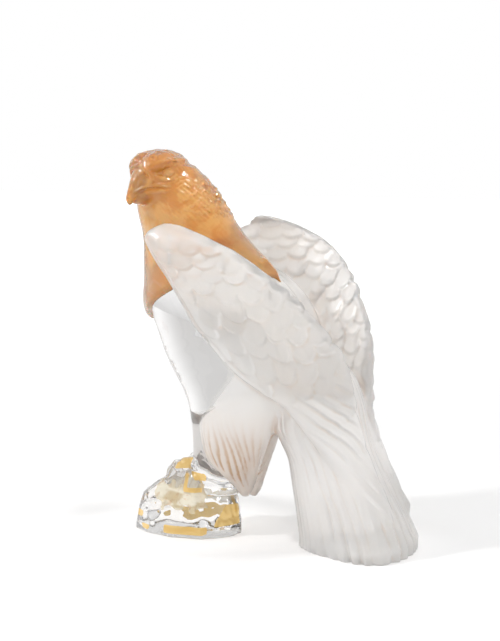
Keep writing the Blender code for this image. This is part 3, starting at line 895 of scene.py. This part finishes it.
def split(points, triangles, value):
    """Cut each triangle that the zero line of value crosses.

    Gives the new points, the triangles, which triangle each comes from, and whether it is on the
    side above zero.
    """
    # Corners next to the line count as above it, so that no slivers are cut
    value = np.where(np.abs(value) < 0.04, 0.04, value)
    above = value > 0
    count = above[triangles].sum(1)
    plain = np.flatnonzero((count == 0) | (count == 3))
    crossed = np.flatnonzero((count == 1) | (count == 2))
    side = above[triangles[crossed]]
    alone = np.where(side.sum(1) == 1, side.argmax(1), (~side).argmax(1))
    row = np.arange(len(crossed))
    a, b, c = (triangles[crossed][row, (alone + k) % 3] for k in range(3))
    edges = np.sort(np.concatenate([np.stack([a, b], 1), np.stack([a, c], 1)]), 1)
    kept, where = np.unique(edges, axis=0, return_inverse=True)
    where = where.reshape(-1)
    f = value[kept[:, 0]] / (value[kept[:, 0]] - value[kept[:, 1]])
    added = points[kept[:, 0]] + (points[kept[:, 1]] - points[kept[:, 0]]) * f[:, None]
    ab, ac = len(points) + where[: len(a)], len(points) + where[len(a):]
    pieces = [np.stack([a, ab, ac], 1), np.stack([ab, b, c], 1), np.stack([ab, c, ac], 1)]
    faces = np.concatenate([triangles[plain]] + pieces)
    source = np.concatenate([plain, crossed, crossed, crossed])
    up = np.concatenate([above[triangles[plain, 0]], above[a], above[b], above[b]])
    return np.concatenate([points, added]), faces, source, up


def finished(name, points, triangles, slots, materials, attributes):
    """The piece itself: its mesh with materials and per-point values."""
    mesh = from_faces(name, points, triangles)
    for each in materials:
        mesh.materials.append(each)
    mesh.polygons.foreach_set("material_index", slots.astype(np.int32))
    for key, value in attributes.items():
        layer = mesh.attributes.new(key, "FLOAT", "POINT")
        layer.data.foreach_set("value", value.astype(np.float32))
    mesh.update()
    return placed(name, mesh)


def relief_of(field, values, points, radius, full):
    """Per point, 1 on crests, -1 in hollows, from the surface's curving."""
    return np.clip(field.sample(even(values, radius) - values, points) / full, -1, 1)


# Materials


class Nodes:
    """Short calls for building the nodes of a material or of the world."""

    def __init__(self, owner, shader="Principled BSDF", place="Object"):
        owner.use_nodes = True
        self.owner = owner
        self.tree = owner.node_tree
        self.shader = self.tree.nodes[shader]
        self.place = self.node("ShaderNodeTexCoord").outputs[place]

    def set(self, **values):
        for key, value in values.items():
            self.shader.inputs[key.replace("_", " ")].default_value = value

    def link(self, source, socket):
        self.tree.links.new(source, self.shader.inputs[socket])

    def node(self, kind, inputs=None, **settings):
        made = self.tree.nodes.new(kind)
        for key, value in settings.items():
            setattr(made, key, value)
        for key, value in (inputs or {}).items():
            socket = made.inputs[key]
            if isinstance(value, bpy.types.NodeSocket):
                self.tree.links.new(value, socket)
            else:
                socket.default_value = value
        return made

    def math(self, operation, a, b=0.0):
        return self.node("ShaderNodeMath", {0: a, 1: b}, operation=operation).outputs[0]

    def vector(self, operation, other):
        """A number from the place and another vector."""
        inputs = {0: self.place, 1: other}
        return self.node("ShaderNodeVectorMath", inputs, operation=operation).outputs["Value"]

    def value(self, name):
        """A value kept per point in the mesh."""
        return self.node("ShaderNodeAttribute", attribute_name=name).outputs["Fac"]

    def noise(self, scale, detail=2.0, roughness=0.5, distortion=0.0, place=None):
        return self.node("ShaderNodeTexNoise", {
            "Vector": place or self.place, "Scale": scale, "Detail": detail,
            "Roughness": roughness, "Distortion": distortion,
        }).outputs["Fac"]

    def ramp(self, value, low, high, bottom=0.0, top=1.0):
        return self.node("ShaderNodeMapRange", {
            "Value": value, "From Min": low, "From Max": high, "To Min": bottom, "To Max": top,
        }, interpolation_type="SMOOTHSTEP").outputs[0]

    def mix(self, factor, a, b):
        return self.node("ShaderNodeMix", {0: factor, 6: a, 7: b}, data_type="RGBA").outputs[2]

    def bump(self, height, strength, distance):
        inputs = {"Height": height, "Strength": strength, "Distance": distance}
        self.link(self.node("ShaderNodeBump", inputs).outputs[0], "Normal")


def new_material(name, **values):
    n = Nodes(bpy.data.materials.new(name))
    n.set(**values)
    return n


def frosted_material():
    n = new_material(
        "frosted_crystal", IOR=1.45, Roughness=0.3, Transmission_Weight=0.66,
        Coat_Weight=0.5, Coat_Roughness=0.05, Coat_IOR=1.45,
        Subsurface_Weight=0.8, Subsurface_Scale=0.01, Subsurface_Radius=(1.0, 0.95, 0.9),
    )
    relief = n.value("relief")
    cloudy = n.math("MULTIPLY", n.ramp(n.noise(26.0, 3.0), 0.42, 0.66), 0.5)
    warm = n.math("MULTIPLY", n.ramp(n.noise(9.0, 2.0), 0.45, 0.65), 0.5)
    colour = n.mix(cloudy, (0.965, 0.925, 0.895, 1), (0.955, 0.895, 0.855, 1))
    colour = n.mix(warm, colour, (0.97, 0.94, 0.92, 1))
    # Painted shade: the colour turns darker peach in the hollows of the relief, more in some patches
    # than in others
    patchy = n.ramp(n.noise(16.0, 2.0), 0.40, 0.65, 0.15, 0.7)
    painted_hollow_shade = n.math("MULTIPLY", n.ramp(relief, -0.2, -1.0), patchy)
    colour = n.mix(painted_hollow_shade, colour, (0.86, 0.76, 0.68, 1))
    # Brown low on the thighs, full in the hollows and a quarter on the crests: painted shade in the
    # hollows
    hollow_shade_weight = n.ramp(relief, 0.4, -0.5, 0.25, 1.0)
    brown_with_hollow_shade = n.math("MULTIPLY", n.value("thigh_low_brown"), hollow_shade_weight)
    colour = n.mix(brown_with_hollow_shade, colour, (0.58, 0.36, 0.19, 1))
    n.link(colour, "Base Color")
    n.bump(n.noise(420.0, 2.0, 0.5), 0.06, 0.0005)
    return n.owner


def clear_material():
    n = new_material("clear_crystal", IOR=1.5, Roughness=0.02, Transmission_Weight=1.0)
    cloudy = n.ramp(n.noise(14.0, 2.0), 0.35, 0.7)
    n.link(n.mix(cloudy, (0.99, 0.985, 0.98, 1), (0.975, 0.965, 0.96, 1)), "Base Color")
    tall = n.node("ShaderNodeMapping", {"Vector": n.place, "Scale": (1.0, 1.0, 0.22)}).outputs[0]
    n.bump(n.noise(42.0, 2.0, 0.4, 0.0, tall), 0.22, 0.002)
    return n.owner


def misted_material():
    n = new_material(
        "misted_crystal", IOR=1.48, Roughness=0.17, Transmission_Weight=0.88,
        Coat_Weight=0.2, Coat_Roughness=0.05,
    )
    cloudy = n.ramp(n.noise(20.0, 2.0), 0.4, 0.65)
    n.link(n.mix(cloudy, (0.97, 0.955, 0.93, 1), (0.965, 0.94, 0.91, 1)), "Base Color")
    n.bump(n.noise(120.0, 2.0, 0.5), 0.06, 0.0006)
    return n.owner


def gold_reflection_material():
    # Painted reflection of the amber in the rock's facets
    n = new_material("golden_reflection", IOR=1.5, Roughness=0.06, Transmission_Weight=0.35)
    n.link(n.mix(n.noise(45.0, 2.0), (0.80, 0.50, 0.13, 1), (0.84, 0.56, 0.18, 1)), "Base Color")
    n.bump(n.noise(60.0, 2.0), 0.15, 0.001)
    return n.owner


def sand_reflection_material():
    # Painted sandy reflection in the rock
    n = new_material("sandy_reflection", IOR=1.5, Roughness=0.12, Transmission_Weight=0.5)
    cloudy = n.ramp(n.noise(40.0, 3.0), 0.35, 0.65)
    grain = n.math("MULTIPLY", n.ramp(n.noise(220.0, 4.0, 0.7), 0.5, 0.66), 0.8)
    colour = n.mix(cloudy, (0.74, 0.68, 0.52, 1), (0.66, 0.56, 0.38, 1))
    colour = n.mix(grain, colour, (0.55, 0.38, 0.24, 1))
    n.link(colour, "Base Color")
    n.bump(n.noise(150.0, 3.0, 0.6), 0.3, 0.001)
    return n.owner


def amber_material():
    n = new_material(
        "amber_glass", IOR=1.45, Roughness=0.16, Transmission_Weight=0.68,
        Coat_Weight=1.0, Coat_Roughness=0.03, Coat_IOR=1.55,
        Subsurface_Weight=0.8, Subsurface_Scale=0.008, Subsurface_Radius=(1.0, 0.45, 0.15),
    )
    uneven = n.ramp(n.noise(55.0, 4.0, 0.6, 1.2), 0.35, 0.7, -0.4, 0.35)
    # The per-point tone is uneven colour with painted shade and painted highlights in it
    deep = n.math("ADD", n.value("tone_and_painted_light"), uneven)
    # Painted shade: the amber turns deeper in the hollows of its relief
    deep = n.math("ADD", deep, n.ramp(n.value("relief"), 0.2, -0.7, 0.0, 0.45))
    colour = n.mix(n.ramp(deep, -0.1, -0.9), (0.87, 0.45, 0.10, 1), (0.95, 0.63, 0.35, 1))
    colour = n.mix(n.ramp(deep, 0.05, 0.95), colour, (0.74, 0.27, 0.02, 1))
    n.link(colour, "Base Color")
    n.bump(n.noise(160.0, 2.0, 0.5), 0.10, 0.0006)
    return n.owner


def floor_material():
    """Pale floor. It fades to the white studio far away, and shines a little under rock and tail."""
    n = new_material(
        "studio_floor", Roughness=0.9, Specular_IOR_Level=0.1, Emission_Color=(1, 1, 1, 1),
    )
    n.link(n.mix(n.noise(3.0, 2.0), (0.78, 0.78, 0.78, 1), (0.80, 0.80, 0.80, 1)), "Base Color")
    from_rock = n.vector("DISTANCE", (0.0, 0.0, 0.0))
    from_tail = n.vector("DISTANCE", (0.0, 0.142, 0.0))
    seen = n.node("ShaderNodeLightPath").outputs["Is Camera Ray"]
    far = n.math("MULTIPLY", n.ramp(from_rock, 0.3, 2.2, 0.06, 0.6), seen)
    near = n.math(
        "ADD", n.ramp(from_rock, 0.045, 0.12, 0.24, 0.0), n.ramp(from_tail, 0.01, 0.1, 0.15, 0.0),
    )
    n.link(n.math("ADD", far, near), "Emission Strength")
    return n.owner


# Pieces


# Golden and sandy painted reflections in the clear rock, the golden ones standing for the amber seen in
# its facets: side, Y from and to, height from and to, lean
GOLD_REFLECTION_PLACES = (
    (1, 33, 50, 9, 25, 0.33), (1, -6, 29, 3, 9.5, 0.0), (1, -39, -30, 11, 16, 0.5),
    (1, 2, 12, 54, 62, 0.3), (1, 8, 12, 36, 49, -0.1), (1, 9, 23, 36, 39.5, 0.0),
    (1, -30, -20, 3, 7, 0.0), (1, 17, 31, 45, 51, -0.9), (-1, -22, 4, 6, 13, 0.2),
    (-1, 20, 38, 12, 27, -0.3), (-1, -2, 10, 30, 44, 0.25),
)
SAND_REFLECTION_PLACES = ((1, -16, 30, 23, 40, -0.35), (-1, -20, 16, 18, 32, 0.3))
# Where the clear breast ends: heights, and Y at each
CLEAR_LINE = ((96, 104, 108, 122, 138, 160, 228), (68, 62, 40, 52, 64, 58, 40))
MIST_WIDTH = 2.2


def patches(points, places):
    """Per point, mm inside the nearest of these places, negative outside."""
    x, y, z = points.T
    best = np.full(len(points), -9.0)
    for side, y0, y1, z0, z1, lean in places:
        leaning = y - lean * (z - z0)
        inside = np.minimum.reduce([leaning - y0, y1 - leaning, z - z0, z1 - z, side * x + 1.0])
        best = np.maximum(best, inside)
    return best


def add_crystal():
    field, frosted, torso, clear = crystal_fields()
    whole = merge(merge(torso, frosted, 3.5), clear, 1.5)
    # Nothing goes below the ground
    z = field.places(tuple(slice(0, n) for n in field.size))[2]
    whole = np.maximum(whole, -z)
    points, triangles = thinned(*field.surface(whole), BODY_TRIANGLES)

    # The torso is clear in front, and frosted behind the thighs and under the wings
    def into_clear(points):
        """Mm inside the clear glass, negative in the frosted glass. All is clear next to the rock."""
        near_rock = field.sample(clear, points)
        body = np.minimum(field.sample(torso, points), near_rock)
        border = field.sample(frosted, points) - 1.2 - body
        line = np.interp(points[:, 2], *CLEAR_LINE)
        return np.minimum(border, np.where(near_rock < 2.5, 5.0, (line - points[:, 1]) * 0.5))

    points, triangles, source, up = split(points, triangles, into_clear(points))
    slots = np.where(up, CLEAR, FROSTED)
    # A narrow misted band softens the change from clear to frosted
    points, triangles, source, up = split(points, triangles, into_clear(points) - MIST_WIDTH)
    slots = np.where(up | (slots[source] == FROSTED), slots[source], MIST)
    # Painted reflections, golden and sandy, are cut into the clear glass
    for slot, places in ((SAND_REFLECTION, SAND_REFLECTION_PLACES), (GOLD_REFLECTION, GOLD_REFLECTION_PLACES)):
        inside = patches(points, places)
        if slot == SAND_REFLECTION:
            x, y, z = points.T
            inside = inside + 2.0 * np.sin(y * 0.45 + x * 0.2) + 1.5 * np.sin(z * 0.8 + y * 0.23)
        points, triangles, source, up = split(points, triangles, inside)
        slots = np.where(up & (slots[source] != FROSTED), slot, slots[source])
    # The thighs turn brown towards their lower ends, which the tail doesn't; the frosted material makes
    # this brown strongest in the hollows, as painted shade
    low = ease(108, 62, points[:, 2]) * ease(22, 32, points[:, 1]) * (points[:, 1] < 90)
    obj = finished(
        "crystal_form", points, triangles, slots,
        [frosted_material(), clear_material(), gold_reflection_material(), sand_reflection_material(), misted_material()],
        {"relief": relief_of(field, whole, points, 3, 0.4), "thigh_low_brown": low},
    )
    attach(obj, "root")
    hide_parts("eagle_body")


# Deeper and paler places in the amber: some are its uneven colour, some are painted shade (under the
# brow, in the throat's folds, under the wing's edge) and painted highlights (a pale spot on the bill).
# Size in mm, how much deeper, and pixels of the photograph
TONES_AND_PAINTED_LIGHT = (
    (2, 0.8, (179, 163), (145, 176)), (2, 1.0, (152, 165), (159, 165), (166, 165), (173, 164.5)),
    (2.5, 0.4, (181, 207)), (2.5, 0.5, (186, 203)), (2.5, 0.8, (127, 193)),
    (3, 0.5, (170, 183), (171, 198), (173, 204), (150, 188), (156, 197), (157, 188)),
    (3, 0.6, (171, 188), (171, 193), (176, 209), (150, 168)), (3.5, -1.3, (168, 174)),
    (4, -0.8, (143, 176)), (4, 0.2, (133, 178)), (4, 0.4, (150, 160)), (4, 0.5, (165, 200)),
    (5, -0.6, (138, 186)), (5, 0.3, (146, 186)), (5, 0.4, (204, 182)),
    (5, 0.5, (147, 199), (138, 160)), (5, 0.6, (140, 152), (155, 166)),
    (6, 0.3, (178, 176)), (6, 0.4, (150, 172)), (6, 0.5, (162, 183), (188, 167)),
    (6, 0.6, (162, 164)), (6, 0.7, (177, 161)), (8, -1.0, (150, 314)), (8, -0.3, (230, 205)),
    (8, 0.4, (258, 252)), (8, 0.9, (274, 274)), (9, -0.4, (142, 226)),
    (9, 0.4, (195, 228), (215, 238)), (9, 1.1, (174, 154)), (9, 1.2, (158, 154)),
    (12, 0.3, (222, 240)),
)


def add_amber():
    field, values = amber_field()
    points, triangles = thinned(*field.surface(values), HEAD_TRIANGLES)
    # Uneven colour with painted shade and painted highlights, gathered per point
    tone_and_painted_light = np.zeros(len(points))
    for size, amount, *pixels in TONES_AND_PAINTED_LIGHT:
        for spot in spots(field, values, pixels):
            tone_and_painted_light += amount * np.exp(-((points - spot) ** 2).sum(1) / (2 * size * size))
    obj = finished(
        "amber_form", points, triangles, np.zeros(len(triangles), int), [amber_material()],
        {"relief": relief_of(field, values, points, 3, 0.3), "tone_and_painted_light": np.clip(tone_and_painted_light, -1, 1)},
    )
    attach(obj, "root")
    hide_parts("eagle_head")


# The lights: name, place, size and power
LIGHTS = (
    ("key_light", (0.9, -0.95, 1.35), 0.12, 10.5), ("top_light", (0.15, 0.35, 1.75), 0.2, 7.0),
    ("side_light", (1.2, 0.9, 0.7), 0.12, 1.5),
)
LIGHT_AIM = (0, 0.06, 0.15)
FLOOR_REACH = 6000
BOUNCES = 16


def add_stage():
    square = np.array([(-1, -1, 0), (1, -1, 0), (1, 1, 0), (-1, 1, 0)])
    mesh = from_faces("studio_floor", square * FLOOR_REACH, np.array([(0, 1, 2, 3)]))
    mesh.materials.append(floor_material())
    floor = placed("studio_floor", mesh)
    for name, place, size, power in LIGHTS:
        light = bpy.data.lights.new(name, "AREA")
        light.energy = power
        light.size = size
        lamp = placed(name, light)
        lamp.location = place
        aim = Vector(LIGHT_AIM) - Vector(place)
        lamp.rotation_euler = aim.to_track_quat("-Z", "Y").to_euler()


def add_world():
    """A studio that looks white. A grey sweep lights the object, with a lit panel on each side."""
    world = bpy.data.worlds.new("studio")
    bpy.context.scene.world = world
    n = Nodes(world, "Background", "Generated")
    height = n.node("ShaderNodeSeparateXYZ", {0: n.place}).outputs[2]
    sweep = n.node("ShaderNodeValToRGB", {0: height})
    low, high = sweep.color_ramp.elements
    low.position, high.position = 0.0, 0.75
    low.color, high.color = (0.64, 0.635, 0.63, 1), (0.78, 0.78, 0.78, 1)
    panels = n.ramp(n.math("ABSOLUTE", n.vector("DOT_PRODUCT", RIGHT)), 0.3, 0.8)
    lit = n.mix(panels, sweep.outputs[0], (1.05, 1.05, 1.05, 1))
    seen = n.node("ShaderNodeLightPath").outputs["Is Camera Ray"]
    n.link(n.mix(seen, lit, (1, 1, 1, 1)), "Color")


def add_camera():
    data = bpy.data.cameras.new("camera")
    data.lens = LENS
    data.sensor_width = SENSOR
    camera = placed("camera", data)
    turn = Matrix((RIGHT, OVER, -AHEAD)).transposed().to_4x4()
    camera.matrix_world = Matrix.Translation(EYE) @ turn
    bpy.context.scene.camera = camera


def main():
    add_crystal()
    add_amber()
    add_stage()
    add_world()
    add_camera()
    bpy.context.scene.view_settings.view_transform = "Standard"
    cycles = bpy.context.scene.cycles
    cycles.max_bounces = cycles.transmission_bounces = cycles.transparent_max_bounces = BOUNCES
    cycles.caustics_refractive = True
    cycles.caustics_reflective = False
    cycles.blur_glossy = 0.6


main()
